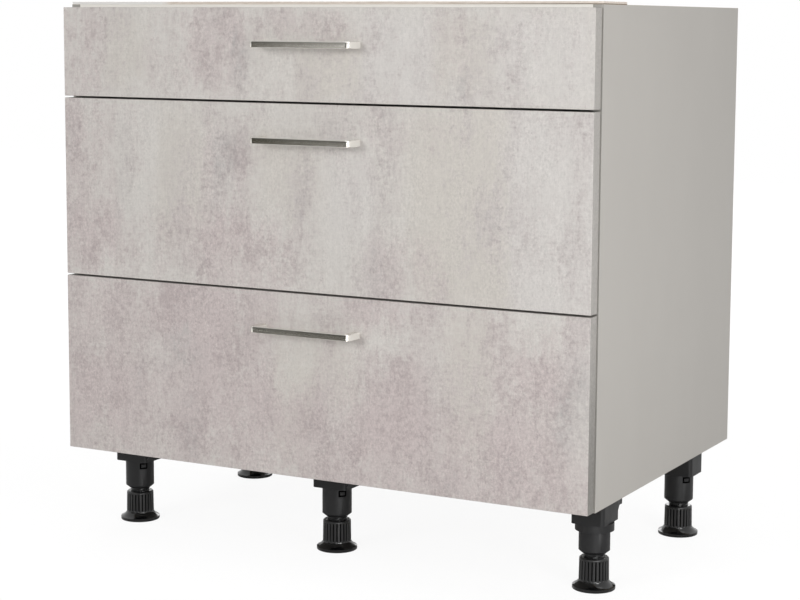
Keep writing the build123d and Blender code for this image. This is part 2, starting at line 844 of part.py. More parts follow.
# A flat bow: a bar on two legs, bent round at both ends, with fine chamfers
def make_handle(name, front_bottom, height):
    z = front_bottom + height - handle_below_top
    half_length = (handle_spacing + handle_leg_width) / 2
    bar_back_y = front_face_y - handle_projection + handle_bar_thickness
    with BuildPart() as handle:
        with BuildSketch(Plane(origin=(0, 0, z - handle_bar_height / 2))):
            with Locations((0, front_face_y - handle_projection / 2)):
                Rectangle(2 * half_length, handle_projection)
            finger_gap = 2 * (half_length - handle_leg_width)
            with Locations((0, (bar_back_y + front_face_y) / 2)):
                Rectangle(finger_gap, front_face_y - bar_back_y, mode=Mode.SUBTRACT)
        extrude(amount=handle_bar_height)
        corners = handle.edges().filter_by(Axis.Z).group_by(Axis.Y)[0]
        fillet(corners, radius=handle_corner_radius)
        chamfer(
            handle.faces().sort_by(Axis.Z)[-1].edges() + handle.faces().sort_by(Axis.Z)[0].edges(),
            length=handle_edge_chamfer,
        )
        for x in (-handle_spacing / 2, handle_spacing / 2):
            with Locations(Plane(origin=(x, front_face_y, z), z_dir=(0, 1, 0))):
                Hole(handle_screw_radius + screw_play, handle_screw_in_leg + screw_play)
    handle.part.label = name
    export_step(handle.part, f"parts/{name}.step")


def make_handle_screws(name, front_bottom, height):
    with BuildPart() as screws:
        for plane in handle_screw_planes(front_bottom, height):
            with Locations(plane):
                Cylinder(
                    handle_screw_head_radius,
                    handle_screw_head_height,
                    align=(Align.CENTER, Align.CENTER, Align.MIN),
                )
                Cylinder(
                    handle_screw_radius,
                    front_thickness + handle_screw_in_leg,
                    align=(Align.CENTER, Align.CENTER, Align.MAX),
                )
    screws.part.label = name
    export_step(screws.part, f"parts/{name}.step")


for drawer_name, front_z, front_height, is_deep in drawers:
    box_bottom = front_z + box_above_front_bottom
    make_cabinet_runners(f"cabinet_runners_{drawer_name}", front_z)
    make_middle_runners(f"middle_runners_{drawer_name}", front_z)
    make_front(f"front_{drawer_name}", front_z, front_height, box_bottom)
    make_handle(f"handle_{drawer_name}", front_z, front_height)
    make_handle_screws(f"handle_screws_{drawer_name}", front_z, front_height)
    make_front_brackets(f"front_brackets_{drawer_name}", box_bottom)
    make_bottom_board(f"drawer_bottom_{drawer_name}", box_bottom)
    make_back_board(f"drawer_back_{drawer_name}", box_bottom, is_deep)
    for side_name, hand in sides:
        make_drawer_side(f"drawer_side_{side_name}_{drawer_name}", hand, box_bottom)
    if is_deep:
        make_side_rods(f"side_rods_{drawer_name}", box_bottom)
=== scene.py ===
import json
import math

import bmesh
import bpy
from mathutils import Matrix, Vector


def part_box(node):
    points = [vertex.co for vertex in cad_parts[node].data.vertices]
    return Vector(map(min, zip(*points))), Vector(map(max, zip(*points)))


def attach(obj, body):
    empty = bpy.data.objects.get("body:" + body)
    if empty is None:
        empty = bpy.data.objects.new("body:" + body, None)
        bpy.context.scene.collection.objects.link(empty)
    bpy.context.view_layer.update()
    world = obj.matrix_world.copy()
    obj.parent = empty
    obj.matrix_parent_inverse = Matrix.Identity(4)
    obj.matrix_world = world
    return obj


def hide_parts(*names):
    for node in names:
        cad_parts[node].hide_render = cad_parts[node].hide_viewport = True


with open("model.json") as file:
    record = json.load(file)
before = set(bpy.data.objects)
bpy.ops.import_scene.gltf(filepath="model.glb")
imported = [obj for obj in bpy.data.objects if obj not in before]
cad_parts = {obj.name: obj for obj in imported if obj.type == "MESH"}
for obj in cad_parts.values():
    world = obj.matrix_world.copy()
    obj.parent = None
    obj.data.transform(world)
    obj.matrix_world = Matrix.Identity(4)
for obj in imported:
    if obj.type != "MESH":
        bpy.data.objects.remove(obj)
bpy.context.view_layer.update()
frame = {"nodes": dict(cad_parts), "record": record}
nodes = frame["nodes"]
record = frame["record"]
bodyOf = {name: body for body, names in record["behaviour"]["bodies"].items() for name in names}
slotOf = {part["node"]: part["material_slot"] for part in record["subparts"]}
drawerNames = ["top", "middle", "bottom"]
legNames = ["front_left", "front_middle", "front_right", "rear_left", "rear_right"]

noiseLow, noiseHigh = 0.3, 0.7  # nearly all of a noise lies between these
facingLimit = 0.7               # least part of a normal along the axis that its face looks along
weldDistance = 1e-6             # metres


# helpers for node trees

def addNode(tree, kind, inputs=None, **settings):
    made = tree.nodes.new(kind)
    for key, value in settings.items():
        setattr(made, key, value)
    for key, value in (inputs or {}).items():
        if isinstance(value, bpy.types.NodeSocket):
            tree.links.new(value, made.inputs[key])
        else:
            made.inputs[key].default_value = value
    return made


def calculate(tree, operation, first, second=0.0, third=0.0):
    inputs = {0: first, 1: second, 2: third}
    return addNode(tree, "ShaderNodeMath", inputs, operation=operation).outputs[0]


def mapValue(tree, value, low, high, toLow, toHigh, kind="LINEAR"):
    inputs = {0: value, 1: low, 2: high, 3: toLow, 4: toHigh}
    return addNode(tree, "ShaderNodeMapRange", inputs, interpolation_type=kind).outputs[0]


def vectorMath(tree, operation, *vectors, output=0):
    inputs = dict(enumerate(vectors))
    return addNode(tree, "ShaderNodeVectorMath", inputs, operation=operation).outputs[output]


def partsOf(tree, vector):  # its x, y and z
    return addNode(tree, "ShaderNodeSeparateXYZ", {0: vector}).outputs


def combine(tree, **parts):
    return addNode(tree, "ShaderNodeCombineXYZ", parts).outputs[0]


# helpers for finishes

def paint(red, green, blue):  # a colour as a colour chart gives it, 0 to 255, by the sRGB curve
    parts = [value / 255 for value in (red, green, blue)]
    return (*[v / 12.92 if v <= 0.04045 else ((v + 0.055) / 1.055) ** 2.4 for v in parts], 1.0)


def startFinish(name):
    material = bpy.data.materials.new(name)
    material.use_nodes = True
    tree = material.node_tree
    place = addNode(tree, "ShaderNodeTexCoord").outputs["Object"]
    return material, tree, tree.nodes["Principled BSDF"], place


def stretch(tree, place, scale, shift=(0, 0, 0)):
    inputs = {"Vector": place, "Location": shift, "Scale": scale}
    return addNode(tree, "ShaderNodeMapping", inputs).outputs[0]


# scale: repeats per metre along x, y and z
def noise(tree, place, scale, detail=3.0, roughness=0.55, shift=(0, 0, 0), output=0):
    inputs = {
        "Vector": stretch(tree, place, scale, shift),
        "Scale": 1.0,
        "Detail": detail,
        "Roughness": roughness,
    }
    return addNode(tree, "ShaderNodeTexNoise", inputs).outputs[output]


def spread(tree, value, low, high):  # a noise brought between two values
    return mapValue(tree, value, noiseLow, noiseHigh, low, high)


def blend(tree, share, first, second):  # two colours
    inputs = {0: share, 6: first, 7: second}
    return addNode(tree, "ShaderNodeMix", inputs, data_type="RGBA").outputs[2]


def ramp(tree, value, stops):
    made = addNode(tree, "ShaderNodeValToRGB", {0: value})
    while len(made.color_ramp.elements) < len(stops):
        made.color_ramp.elements.new(0.5)
    for element, (position, colour) in zip(made.color_ramp.elements, stops):
        element.position = position
        element.color = colour
    return made.outputs[0]


def brighten(tree, colour, value):
    return addNode(tree, "ShaderNodeHueSaturation", {"Value": value, "Color": colour}).outputs[0]


def bump(tree, shader, height, strength, distance):  # distance in metres
    inputs = {"Height": height, "Strength": strength, "Distance": distance}
    tree.links.new(addNode(tree, "ShaderNodeBump", inputs).outputs[0], shader.inputs["Normal"])


def facing(tree, axis):  # 1 on faces that look along that axis, either way
    normal = addNode(tree, "ShaderNodeNewGeometry").outputs["Normal"]
    part = partsOf(tree, normal)[axis]
    return calculate(tree, "GREATER_THAN", calculate(tree, "ABSOLUTE", part), facingLimit)


# raw chipboard

chipboard = {
    "chips": (330, 330, 330),
    "dust": (900, 900, 900),
    "chipShare": 0.7,
    "dustShare": 0.3,
    "tones": [
        (0.1, paint(136, 103, 66)),
        (0.45, paint(188, 157, 116)),
        (0.9, paint(221, 197, 160)),
    ],
}


def chipColour(tree, place):
    inputs = {"Vector": stretch(tree, place, chipboard["chips"]), "Scale": 1.0}
    chips = addNode(tree, "ShaderNodeTexVoronoi", inputs).outputs["Color"]
    chips = addNode(tree, "ShaderNodeSeparateColor", {0: chips}).outputs[0]
    chips = calculate(tree, "MULTIPLY", chips, chipboard["chipShare"])
    dust = noise(tree, place, chipboard["dust"])
    dust = calculate(tree, "MULTIPLY", dust, chipboard["dustShare"])
    return ramp(tree, calculate(tree, "ADD", chips, dust), chipboard["tones"])


# concrete-look fronts

concrete = {
    "base": paint(202, 198, 193),
    "warm": paint(198, 193, 186),
    "pale": paint(203, 199, 195),
    "mauve": paint(193, 182, 180),
    "slate": paint(184, 181, 178),
    "stain": paint(160, 147, 147),
    "edge": paint(174, 170, 165),
    # painted shade of the edge band on the lower fronts
    "edgeLowShade": paint(138, 135, 130),
    "drift": (0.05, 0.0, 0.13),  # how far the clouds' outlines wander, in metres
    "loose": {"warm": 0.18, "pale": 0.04, "slate": -0.1},  # how much lies between the clouds
    "stainDrift": 0.1,
    "speckle": 0.1,
    "mauveSpeckle": 0.7,         # added to the crowd of flecks in the mauve
    "roughness": (0.46, 0.6),    # outside and inside the mauve
    "specular": 0.35,
    "bump": (0.25, 0.00012),
}
concreteNoises = {  # repeats per metre, detail, roughness
    "wander": ((26, 26, 5), 6.0, 0.7),
    "bands": ((13, 13, 1.3), 5.0, 0.6),
    "patches": ((13, 13, 6), 7.0, 0.72),
    "flecks": ((150, 150, 60), 5.0, 0.8),
    "dashes": ((60, 60, 190), 5.0, 0.75),
    "stains": ((115, 115, 95), 6.0, 0.75),
    "stainDrift": ((26, 26, 17), 4.0, 0.6),
    "grain": ((300, 300, 230), 3.0, 0.8),
    "crowd": ((20, 20, 9), 5.0, 0.7),
    "streaks": ((60, 60, 2.2), 4.0, 0.6),
    "uprightScratches": ((700, 700, 60), 2.0, 0.6),
    "levelScratches": ((70, 70, 520), 2.0, 0.6),
    "blotches": ((160, 160, 70), 3.0, 0.6),
    "pits": ((240, 240, 180), 2.0, 0.5),
}
concreteMaps = {  # from low and high, to low and high
    "tone": (-0.15, 1.0, 0.0, 1.0),
    "stains": (0.46, 0.63, 0.0, 0.48),
    "stainsInMauve": (0.15, 0.7, 0.05, 1.0),
    "crowd": (0.4, 0.62, 0.4, 1.1),
    "grain": (0.34, 0.66, 1.0, -1.0),
    "wear": (-0.4, 0.4, 0.02, -0.02),
    "pits": (0.68, 0.74, 0.0, -0.13),
    "edge": (0.4, 0.2, 0.0, 1.0),  # of the height in metres; painted shade on the lower fronts' edges
}
wearReach = {"patches": 0.4, "flecks": 0.28, "dashes": 0.22, "bands": 0.2}
markDepth = {"streaks": 0.02, "uprightScratches": 0.028, "levelScratches": 0.018, "blotches": 0.02}
patternShift = {"top": (0.3, 2.1, 0.7), "middle": (5.2, 0.4, 3.3), "bottom": (9.1, 7.7, 1.9)}
crowdShift, pitShift = (4.1, 2.2, 8.3), (3, 5, 7)
# clouds of each front: centre x and z, half width and half height in metres, strength
clouds = {
    "top": {
        "loose": 0.05,  # how much mauve lies between the clouds
        "mauve": [
            (-0.415, 0.77, 0.04, 0.072, 0.5),
            (-0.25, 0.775, 0.045, 0.066, 0.2),
            (-0.165, 0.78, 0.05, 0.066, 0.48),
            (-0.12, 0.76, 0.02, 0.044, 0.28),
            (-0.01, 0.815, 0.09, 0.022, 0.32),
            (0.225, 0.765, 0.028, 0.066, 0.2),
        ],
        "warm": [
            (-0.33, 0.78, 0.04, 0.05, 0.6),
            (0.04, 0.745, 0.055, 0.04, 0.8),
            (0.25, 0.775, 0.06, 0.05, 0.6),
        ],
        "pale": [(0.14, 0.77, 0.06, 0.065, 0.95), (0.375, 0.77, 0.075, 0.06, 0.75)],
        "slate": [(-0.12, 0.755, 0.02, 0.04, 0.5), (0.24, 0.72, 0.012, 0.02, 0.4)],
    },
    "middle": {
        "loose": 0.04,
        "mauve": [
            (-0.405, 0.565, 0.055, 0.143, 0.44),
            (-0.32, 0.48, 0.134, 0.05, 0.28),
            (-0.305, 0.635, 0.028, 0.066, 0.26),
            (-0.145, 0.575, 0.045, 0.094, 0.34),
            (-0.105, 0.47, 0.09, 0.05, 0.46),
            (0.16, 0.47, 0.062, 0.05, 0.34),
            (0.15, 0.665, 0.067, 0.022, 0.16),
        ],
        "warm": [
            (-0.23, 0.59, 0.045, 0.1, 0.6),
            (-0.045, 0.585, 0.05, 0.055, 0.5),
            (0.255, 0.56, 0.085, 0.14, 1.1),
        ],
        "pale": [(0.07, 0.575, 0.035, 0.08, 0.6), (0.395, 0.565, 0.07, 0.16, 1.2)],
        "slate": [(-0.15, 0.6, 0.02, 0.06, 0.35), (-0.33, 0.6, 0.02, 0.09, 0.3)],
    },
    "bottom": {
        "loose": 0.26,
        "mauve": [
            (-0.3, 0.295, 0.179, 0.143, 0.34),
            (-0.215, 0.38, 0.062, 0.055, 0.24),
            (-0.39, 0.235, 0.062, 0.05, 0.28),
            (-0.12, 0.325, 0.073, 0.094, 0.28),
            (0.06, 0.2, 0.2, 0.07, 0.42),
            (0.13, 0.41, 0.067, 0.033, 0.36),
            (0.14, 0.265, 0.056, 0.061, 0.48),
            (0.355, 0.26, 0.056, 0.121, 0.28),
            (0.38, 0.33, 0.039, 0.028, 0.24),
            (0.36, 0.195, 0.112, 0.061, 0.28),
        ],
        "warm": [
            (-0.03, 0.255, 0.035, 0.09, 0.8),
            (0.045, 0.3, 0.04, 0.045, 0.5),
            (0.265, 0.305, 0.04, 0.11, 0.8),
        ],
        "pale": [(0.43, 0.38, 0.03, 0.045, 0.4)],
        "slate": [(0.43, 0.285, 0.035, 0.07, 0.42), (-0.26, 0.31, 0.05, 0.03, 0.3)],
    },
}
cloudEmpty, cloudFull = 1.5, 0.5  # distance from a cloud's centre, in its half widths and heights


def cloudShare(tree, place, spots, loose):  # the spots of one colour, added to its loose patches
    share = loose
    # sockets of the node: from low and high, to low and high
    limits = {7: (cloudEmpty,) * 3, 8: (cloudFull,) * 3, 9: (0,) * 3, 10: (1,) * 3}
    kind = {"data_type": "FLOAT_VECTOR", "interpolation_type": "SMOOTHSTEP"}
    for x, z, halfWidth, halfHeight, strength in spots:
        scale = (1 / halfWidth, 0, 1 / halfHeight)
        around = stretch(tree, place, scale, (-x / halfWidth, 0, -z / halfHeight))
        around = vectorMath(tree, "ABSOLUTE", around)
        soft = addNode(tree, "ShaderNodeMapRange", {"Vector": around, **limits}, **kind)
        sides = partsOf(tree, soft.outputs[1])
        spot = calculate(tree, "MULTIPLY", sides[0], sides[2])
        share = calculate(tree, "MULTIPLY_ADD", spot, strength, share)
    return share


def concreteFinish(front):
    material, tree, shader, place = startFinish(f"concrete_decor_{front}")
    shift = patternShift[front]

    def pattern(kind, around=place, output=0):
        return noise(tree, around, *concreteNoises[kind], shift, output)

    def mapped(kind, value, way="LINEAR"):
        return mapValue(tree, value, *concreteMaps[kind], way)

    wander = vectorMath(tree, "ADD", pattern("wander", output="Color"), (-0.5,) * 3)
    warped = vectorMath(tree, "MULTIPLY_ADD", wander, concrete["drift"], place)

    # trowelled skin: colours that run down the board in ragged fingers, worn through in flecks
    flecks = pattern("flecks")
    worn = spread(tree, pattern("patches", warped), -wearReach["patches"], wearReach["patches"])
    wear = {"flecks": flecks, "dashes": pattern("dashes"), "bands": pattern("bands")}
    for kind, marks in wear.items():
        worn = calculate(tree, "ADD", worn, spread(tree, marks, -wearReach[kind], wearReach[kind]))
    share = {}
    for tone, loose in {"mauve": clouds[front]["loose"], **concrete["loose"]}.items():
        loose = calculate(tree, "ADD", worn, loose)
        found = cloudShare(tree, warped, clouds[front][tone], loose)
        share[tone] = mapped("tone", found, "SMOOTHSTEP")
    colour = blend(tree, share["warm"], concrete["base"], concrete["warm"])
    for tone in ("pale", "mauve", "slate"):
        colour = blend(tree, share[tone], colour, concrete[tone])
    mauve = share["mauve"]

    # ragged dark stains inside the mauve
    drift = spread(tree, pattern("stainDrift"), -concrete["stainDrift"], concrete["stainDrift"])
    stains = mapped("stains", calculate(tree, "ADD", pattern("stains"), drift), "SMOOTHSTEP")
    stains = calculate(tree, "MULTIPLY", stains, mapped("stainsInMauve", mauve))
    colour = blend(tree, stains, colour, concrete["stain"])

    # light and dark flecks, crowded in the mauve and sparse between
    grain = pattern("grain")
    crowd = mapped("crowd", noise(tree, place, *concreteNoises["crowd"], crowdShift))
    crowd = calculate(tree, "MULTIPLY_ADD", mauve, concrete["mauveSpeckle"], crowd)
    speck = calculate(tree, "MULTIPLY", mapped("grain", grain), crowd)
    light = calculate(tree, "MULTIPLY_ADD", speck, concrete["speckle"], 1.0)
    light = calculate(tree, "ADD", light, mapped("wear", worn))
    for kind, depth in markDepth.items():
        light = calculate(tree, "ADD", light, spread(tree, pattern(kind), -depth, depth))
    pits = mapped("pits", noise(tree, place, *concreteNoises["pits"], pitShift))
    light = calculate(tree, "ADD", light, pits)

    # edge band, darkened by painted shade on the lower fronts
    low = mapped("edge", partsOf(tree, warped)[2])
    edge = blend(tree, low, concrete["edge"], concrete["edgeLowShade"])
    colour = blend(tree, facing(tree, 1), edge, colour)
    tree.links.new(brighten(tree, colour, light), shader.inputs["Base Color"])

    roughness = mapValue(tree, mauve, 0.0, 1.0, *concrete["roughness"])
    tree.links.new(roughness, shader.inputs["Roughness"])
    shader.inputs["Specular IOR Level"].default_value = concrete["specular"]
    bump(tree, shader, calculate(tree, "ADD", grain, flecks), *concrete["bump"])
    return material


# boards

boards = {
    "carcass": {"colour": paint(188, 184, 178), "roughness": 0.5},
    "white": {"colour": paint(246, 243, 236), "roughness": 0.45},
    "drawer": {"colour": paint(196, 196, 193), "roughness": 0.5},
    "back": {"colour": paint(205, 203, 197), "roughness": 0.6},
    "edge": paint(166, 163, 157),  # painted shade of the joint: darker front and rear edges of the side panels
    "grain": ((1100, 1100, 1100), 2.0),
    "grainLight": 0.02,
    "haze": ((9, 9, 5), 3.0),
    "hazeLight": (0.985, 1.015),
    "specular": 0.4,
    "bump": (0.2, 0.00006),
}


# melamine with a fine pearl grain. rawAxis names the axis whose ends are cut and left raw; its
# front and rear edges then get painted shade.
def boardFinish(name, kind, rawAxis=None):
    material, tree, shader, place = startFinish(name)
    grain = noise(tree, place, *boards["grain"])
    light = spread(tree, noise(tree, place, *boards["haze"]), *boards["hazeLight"])
    pearl = spread(tree, grain, -boards["grainLight"], boards["grainLight"])
    colour = brighten(tree, boards[kind]["colour"], calculate(tree, "ADD", light, pearl))
    if rawAxis is not None:
        # painted shade of the joint behind the fronts, on the front and rear edges
        colour = blend(tree, facing(tree, 1), colour, boards["edge"])
        colour = blend(tree, facing(tree, rawAxis), colour, chipColour(tree, place))
    tree.links.new(colour, shader.inputs["Base Color"])
    shader.inputs["Roughness"].default_value = boards[kind]["roughness"]
    shader.inputs["Specular IOR Level"].default_value = boards["specular"]
    bump(tree, shader, grain, *boards["bump"])
    return material


rawStrip = {
    "fibres": ((30, 900, 900), 4.0, 0.6),
    "fibreShare": 0.6,
    "flecks": ((120, 500, 500), 3.0, 0.6),
    "fleckShare": 0.4,
    "tones": [
        (0.3, paint(208, 194, 181)),
        (0.55, paint(231, 220, 210)),
        (0.75, paint(239, 231, 223)),
    ],
    "paleEnd": paint(240, 239, 237),
    "paleEndSpan": (-0.245, -0.262, 0.0, 0.85),  # from and to x in metres, share
    "raggedness": 0.03,                          # of the pale end, in metres
    # painted shadow of the gap under the strip
    "gapShadowColour": paint(128, 118, 104),
    "gapShadowHeight": 0.8452,
    "gapShadowEnd": (0.18, 0.4, 0.0, 0.9),           # from and to x in metres, share
    "roughness": 0.85,
    "specular": 0.2,
    "bump": (0.4, 0.0001),
}


def rawStripFinish():
    material, tree, shader, place = startFinish("raw_strip")
    fibres = noise(tree, place, *rawStrip["fibres"])
    flecks = noise(tree, place, *rawStrip["flecks"])
    tone = calculate(tree, "MULTIPLY", flecks, rawStrip["fleckShare"])
    tone = calculate(tree, "MULTIPLY_ADD", fibres, rawStrip["fibreShare"], tone)
    colour = ramp(tree, tone, rawStrip["tones"])

    # the left end is paler, near white
    across, _, height = partsOf(tree, place)
    ragged = calculate(tree, "MULTIPLY_ADD", flecks, rawStrip["raggedness"], across)
    paleEnd = mapValue(tree, ragged, *rawStrip["paleEndSpan"])
    colour = blend(tree, paleEnd, colour, rawStrip["paleEnd"])

    # painted shadow of the gap under the strip, along its lower edge towards the right end
    low = calculate(tree, "LESS_THAN", height, rawStrip["gapShadowHeight"])
    dark = calculate(tree, "MULTIPLY", low, mapValue(tree, across, *rawStrip["gapShadowEnd"]))
    colour = blend(tree, dark, colour, rawStrip["gapShadowColour"])
    tree.links.new(colour, shader.inputs["Base Color"])
    shader.inputs["Roughness"].default_value = rawStrip["roughness"]
    shader.inputs["Specular IOR Level"].default_value = rawStrip["specular"]
    bump(tree, shader, fibres, *rawStrip["bump"])
    return material


beech = {
    "fibres": (60, 1500, 1500),
    "tones": [(0.3, paint(186, 142, 98)), (0.7, paint(214, 176, 132))],
    "roughness": 0.7,
}


def beechFinish():
    material, tree, shader, place = startFinish("beech_dowel")
    colour = ramp(tree, noise(tree, place, beech["fibres"]), beech["tones"])
    tree.links.new(colour, shader.inputs["Base Color"])
    shader.inputs["Roughness"].default_value = beech["roughness"]
    return material


# metal and plastic

metals = {
    "nickel": {
        "colour": paint(236, 233, 226),
        "roughness": (0.14, 0.21),
        "brush": (25, 2500, 2500),
        "bump": (0.04, 0.00002),
    },
    "zinc": {
        "colour": paint(200, 203, 207),
        "roughness": (0.29, 0.36),
        "brush": (400, 400, 400),
        "bump": (0.12, 0.00002),
    },
    "brushLight": (0.96, 1.03),
    "endMetallic": 0.15,      # the ends of the handles are blasted, not polished
    "reflectionDarkest": 0.66,          # share of the light left at the top of the bar's front, a painted reflection of dark surroundings
    "reflectionShadeFrom": 0.003,        # metres above the bar's lower edge
    "reflectionShadeTo": 0.001,          # metres below its upper edge
}


def metalFinish(name, kind, handle=None):
    material, tree, shader, place = startFinish(name)
    look = metals[kind]
    brush = noise(tree, place, look["brush"])
    tone = spread(tree, brush, *metals["brushLight"])
    if handle is None:
        shader.inputs["Metallic"].default_value = 1.0
    else:  # painted reflection: darker towards the top of its front, with blasted ends
        low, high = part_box(handle)
        limits = (low.z + metals["reflectionShadeFrom"], high.z - metals["reflectionShadeTo"], 1.0, metals["reflectionDarkest"])
        darker = mapValue(tree, partsOf(tree, place)[2], *limits, "SMOOTHSTEP")
        shade = mapValue(tree, facing(tree, 1), 0.0, 1.0, 1.0, darker)
        tone = calculate(tree, "MULTIPLY", tone, shade)
        metallic = mapValue(tree, facing(tree, 0), 0.0, 1.0, 1.0, metals["endMetallic"])
        tree.links.new(metallic, shader.inputs["Metallic"])
    tree.links.new(brighten(tree, look["colour"], tone), shader.inputs["Base Color"])
    tree.links.new(spread(tree, brush, *look["roughness"]), shader.inputs["Roughness"])
    bump(tree, shader, brush, *look["bump"])
    return material


powderCoat = {
    "colour": paint(146, 149, 152),
    "peel": ((900, 900, 900), 2.0),
    "peelLight": (0.97, 1.03),
    "roughness": 0.42,
    "metallic": 0.35,
    "bump": (0.3, 0.00005),
}


def powderCoatFinish():
    material, tree, shader, place = startFinish("grey_powder_coat")
    peel = noise(tree, place, *powderCoat["peel"])
    colour = brighten(tree, powderCoat["colour"], spread(tree, peel, *powderCoat["peelLight"]))
    tree.links.new(colour, shader.inputs["Base Color"])
    shader.inputs["Roughness"].default_value = powderCoat["roughness"]
    shader.inputs["Metallic"].default_value = powderCoat["metallic"]
    bump(tree, shader, peel, *powderCoat["bump"])
    return material


plastic = {
    "sleeve": {"colour": paint(30, 30, 31), "roughness": (0.4, 0.52), "sheen": 0.3},
    "foot": {"colour": paint(20, 20, 21), "roughness": (0.28, 0.4), "sheen": 0.55},
    "texture": ((1600, 1600, 1600), 2.0),
    "textureLight": (0.9, 1.1),
    "flow": ((60, 60, 25), 4.0),
    "flowLight": 0.08,
    "bump": (0.35, 0.00004),
    "neckHeight": 0.0472,
    "neckRoughness": 0.22,
    "flareHeight": 0.0137,
    "flareRoughness": 0.15,
    "flareColour": paint(9, 9, 10),
    # painted shade of the latch windows and flute valleys
    "recessShadeColour": paint(9, 9, 9),
}
# latch window and flutes: outer radius and its change with height, heights and depth of the cut
cuts = {
    "sleeve": {
        "radius": 0.023, "taper": 0.0,
        "low": 0.0865, "high": 0.0975,
        "depth": (0.0003, 0.0005),
    },
    "foot": {
        "radius": 0.0224, "taper": -0.0154,
        "low": 0.0142, "high": 0.0443,
        "depth": (0.0003, 0.0008),
    },
}


# black plastic, with painted shade near black where a turned piece is cut in. A foot's neck and
# flare are shinier.
def plasticFinish(name, kind, turned=None):
    material, tree, shader, place = startFinish(name)
    look = plastic[kind]
    texture = noise(tree, place, *plastic["texture"])
    flow = noise(tree, place, *plastic["flow"])
    light = spread(tree, texture, *plastic["textureLight"])
    flowLight = spread(tree, flow, -plastic["flowLight"], plastic["flowLight"])
    colour = brighten(tree, look["colour"], calculate(tree, "ADD", light, flowLight))
    roughness = spread(tree, flow, *look["roughness"])
    height = partsOf(tree, place)[2]
    if turned is None:
        shader.inputs["Specular IOR Level"].default_value = look["sheen"]
    else:
        cut = cuts[kind]
        low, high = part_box(turned)
        middle = ((low.x + high.x) / -2, (low.y + high.y) / -2, 0)
        radius = vectorMath(tree, "LENGTH", stretch(tree, place, (1, 1, 0), middle), output="Value")
        outer = calculate(tree, "MULTIPLY_ADD", height, cut["taper"], cut["radius"])
        depth = calculate(tree, "SUBTRACT", outer, radius)
        sunk = mapValue(tree, depth, *cut["depth"], 0.0, 1.0)
        for operation, limit in (("GREATER_THAN", cut["low"]), ("LESS_THAN", cut["high"])):
            sunk = calculate(tree, "MULTIPLY", sunk, calculate(tree, operation, height, limit))
        # painted shade in the latch window and the flute valleys, with their sheen taken away
        colour = blend(tree, sunk, colour, plastic["recessShadeColour"])
        sheen = mapValue(tree, sunk, 0.0, 1.0, look["sheen"], 0.0)
        tree.links.new(sheen, shader.inputs["Specular IOR Level"])
    if kind == "foot":
        above = calculate(tree, "GREATER_THAN", height, plastic["neckHeight"])
        below = calculate(tree, "LESS_THAN", height, plastic["flareHeight"])
        roughness = mapValue(tree, above, 0.0, 1.0, roughness, plastic["neckRoughness"])
        roughness = mapValue(tree, below, 0.0, 1.0, roughness, plastic["flareRoughness"])
        colour = blend(tree, below, colour, plastic["flareColour"])
    tree.links.new(colour, shader.inputs["Base Color"])
    tree.links.new(roughness, shader.inputs["Roughness"])
    bump(tree, shader, texture, *plastic["bump"])
    return material


sidePanel = boardFinish("grey_melamine_side", "carcass", 2)
whiteRail = boardFinish("white_rail", "white")
finishes = {
    "grey_melamine": boardFinish("grey_melamine", "carcass"),
    "raw_board": rawStripFinish(),
    "back_board": boardFinish("painted_hardboard", "back"),
    "drawer_board": boardFinish("drawer_board", "drawer"),
    "dowel_wood": beechFinish(),
    "black_plastic": plasticFinish("black_plastic", "sleeve"),
    "zinc_steel": metalFinish("zinc_steel", "zinc"),
    "grey_painted_steel": powderCoatFinish(),
}
ownFinish = {
    "side_panel_left": sidePanel,
    "side_panel_right": sidePanel,
    "top_rail_front": whiteRail,
    "top_rail_rear": whiteRail,
}
for drawer in drawerNames:
    handle = f"handle_{drawer}"
    ownFinish[f"front_{drawer}"] = concreteFinish(drawer)
    ownFinish[handle] = metalFinish(f"satin_nickel_{drawer}", "nickel", handle)
for leg in legNames:
    for kind in ("foot", "sleeve"):
        name = f"leg_{kind}_{leg}"
        ownFinish[name] = plasticFinish(f"{kind}_plastic_{leg}", kind, name)


def dress(piece, node):
    finish = ownFinish[node] if node in ownFinish else finishes[slotOf[node]]
    piece.data.materials.clear()
    piece.data.materials.append(finish)


for name, node in nodes.items():
    dress(node, name)
print("finishes: done")


# pieces made by geometry nodes

def addObject(name, data):
    made = bpy.data.objects.new(name, data)
    bpy.context.scene.collection.objects.link(made)
    return made


def standIn(piece, node):  # the piece rides on that node's body and shows in its place
    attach(piece, bodyOf[node])
    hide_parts(node)


def startShape(name, sizes):  # sizes: input name to socket kind
    tree = bpy.data.node_groups.new(name, "GeometryNodeTree")
    tree.interface.new_socket("Geometry", in_out="INPUT", socket_type="NodeSocketGeometry")
    for size, kind in sizes.items():
        tree.interface.new_socket(size, in_out="INPUT", socket_type="NodeSocket" + kind)
    tree.interface.new_socket("Geometry", in_out="OUTPUT", socket_type="NodeSocketGeometry")
    return tree, tree.nodes.new("NodeGroupInput").outputs


def endShape(tree, geometry, finish):
    solid = addNode(tree, "GeometryNodeRealizeInstances", {"Geometry": geometry}).outputs[0]
    inputs = {"Geometry": solid, "Material": finish}
    dressed = addNode(tree, "GeometryNodeSetMaterial", inputs).outputs[0]
    tree.links.new(dressed, tree.nodes.new("NodeGroupOutput").inputs[0])


turnedAngle = math.radians(38)  # sharper edges of these pieces stay sharp


def runShape(name, tree, mesh, values):  # a plain mesh of what the tree makes of that mesh
    source = addObject(name + "_source", mesh)
    modifier = source.modifiers.new("shape", "NODES")
    modifier.node_group = tree
    for item in tree.interface.items_tree:
        if item.in_out == "INPUT" and item.name in values:
            modifier[item.identifier] = values[item.name]
    bpy.context.view_layer.update()
    shaped = source.evaluated_get(bpy.context.evaluated_depsgraph_get())
    made = bpy.data.meshes.new_from_object(shaped)
    bpy.data.objects.remove(source)
    made.name = name
    work = bmesh.new()
    work.from_mesh(made)
    bmesh.ops.recalc_face_normals(work, faces=work.faces)
    work.to_mesh(made)
    work.free()
    made.set_sharp_from_angle(angle=turnedAngle)
    return addObject(name, made)


